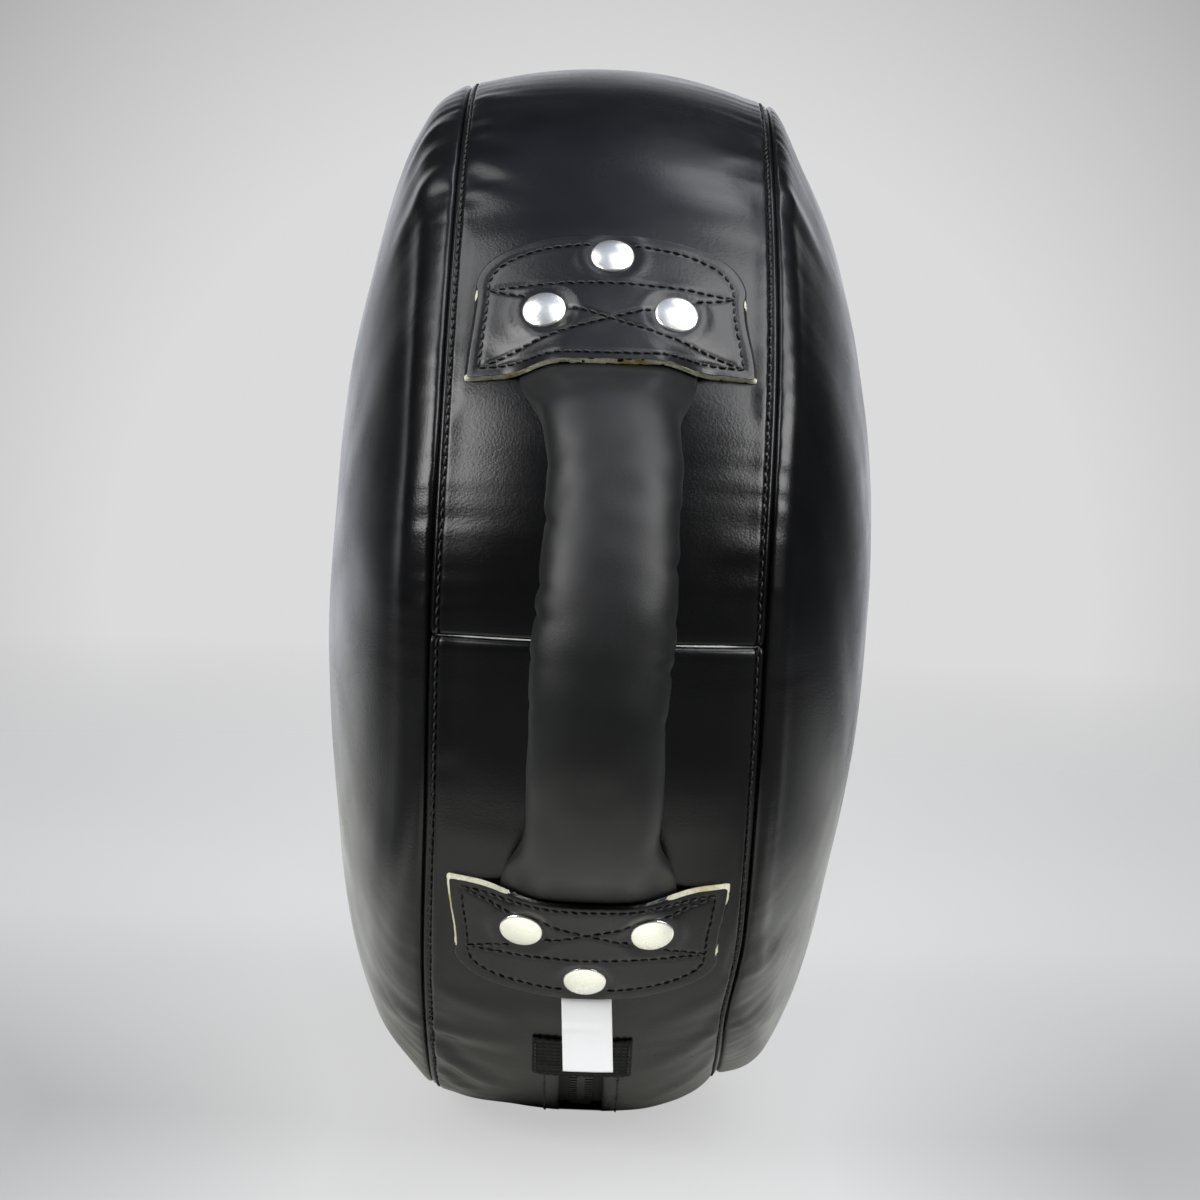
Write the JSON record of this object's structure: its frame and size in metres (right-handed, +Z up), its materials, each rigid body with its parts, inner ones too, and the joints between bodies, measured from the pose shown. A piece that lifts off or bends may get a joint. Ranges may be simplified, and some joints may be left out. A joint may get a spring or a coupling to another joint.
{
  "type": "round striking shield",
  "caption": "Round thick padded striking shield in black leather with riveted side handles, for boxing and kicking practice.",
  "frame": {"origin": "under the middle of the flat on which the rim stands, at the bottom centre of the box round the whole shield", "axes": "+X along the disc axis, from one striking face to the other; +Y from the front handle to the back handle; +Z up, with the zip at the bottom"},
  "size_m": [0.204, 0.5244, 0.3975],
  "materials": {
    "body_leather": "satin",
    "handle_leather": "satin",
    "patch_leather": "gloss",
    "backing_leather": "matte",
    "firm_foam": "matte",
    "soft_foam": "matte",
    "rivet_metal": "polished",
    "washer_metal": "satin",
    "zip_fabric": "matte",
    "zip_webbing": "matte",
    "zip_plastic": "satin",
    "slider_metal": "gloss",
    "label_satin": "satin"
  },
  "bodies": {
    "pad": {"backing_back_lower": "backing_leather", "backing_back_upper": "backing_leather", "backing_front_lower": "backing_leather", "backing_front_upper": "backing_leather", "face_panel_left": "body_leather", "face_panel_right": "body_leather", "foam_core": "firm_foam", "foam_crown_left": "soft_foam", "foam_crown_right": "soft_foam", "foam_layer_left": "soft_foam", "foam_layer_right": "soft_foam", "gusset_lower": "body_leather", "gusset_upper": "body_leather", "handle_core_back": "soft_foam", "handle_core_front": "soft_foam", "handle_cover_back": "handle_leather", "handle_cover_front": "handle_leather", "patch_back_lower": "patch_leather", "patch_back_upper": "patch_leather", "patch_front_lower": "patch_leather", "patch_front_upper": "patch_leather", "rivet_washers_back": "washer_metal", "rivet_washers_front": "washer_metal", "rivets_back": "rivet_metal", "rivets_front": "rivet_metal", "zip_bottom_stop": "zip_plastic", "zip_end_tab_back": "zip_webbing", "zip_end_tab_front": "zip_webbing", "zip_tape_left": "zip_fabric", "zip_tape_right": "zip_fabric", "zip_teeth_left": "zip_plastic", "zip_teeth_right": "zip_plastic", "zip_top_stops": "zip_plastic"},
    "slider": {"zip_slider": "slider_metal"},
    "pull": {"zip_pull_tab": "slider_metal"},
    "tag": {"label": "label_satin"}
  },
  "joints": [
    {"name": "slider_run", "type": "hinge", "parent": "pad", "child": "slider", "pos_m": [0, 0, 0.1975], "axis": [-1, 0, 0], "range_deg": [0, 59], "deforming": ["zip_teeth_left", "zip_teeth_right"]},
    {"name": "pull_swing", "type": "hinge", "parent": "slider", "child": "pull", "pos_m": [0, 0.10754, 0.02869], "axis": [1, 0, 0], "range_deg": [-50, 110]},
    {"name": "tag_swing", "type": "hinge", "parent": "pad", "child": "tag", "pos_m": [0, -0.1524, 0.06555], "axis": [-1, 0, 0], "range_deg": [-25, 70]}
  ]
}
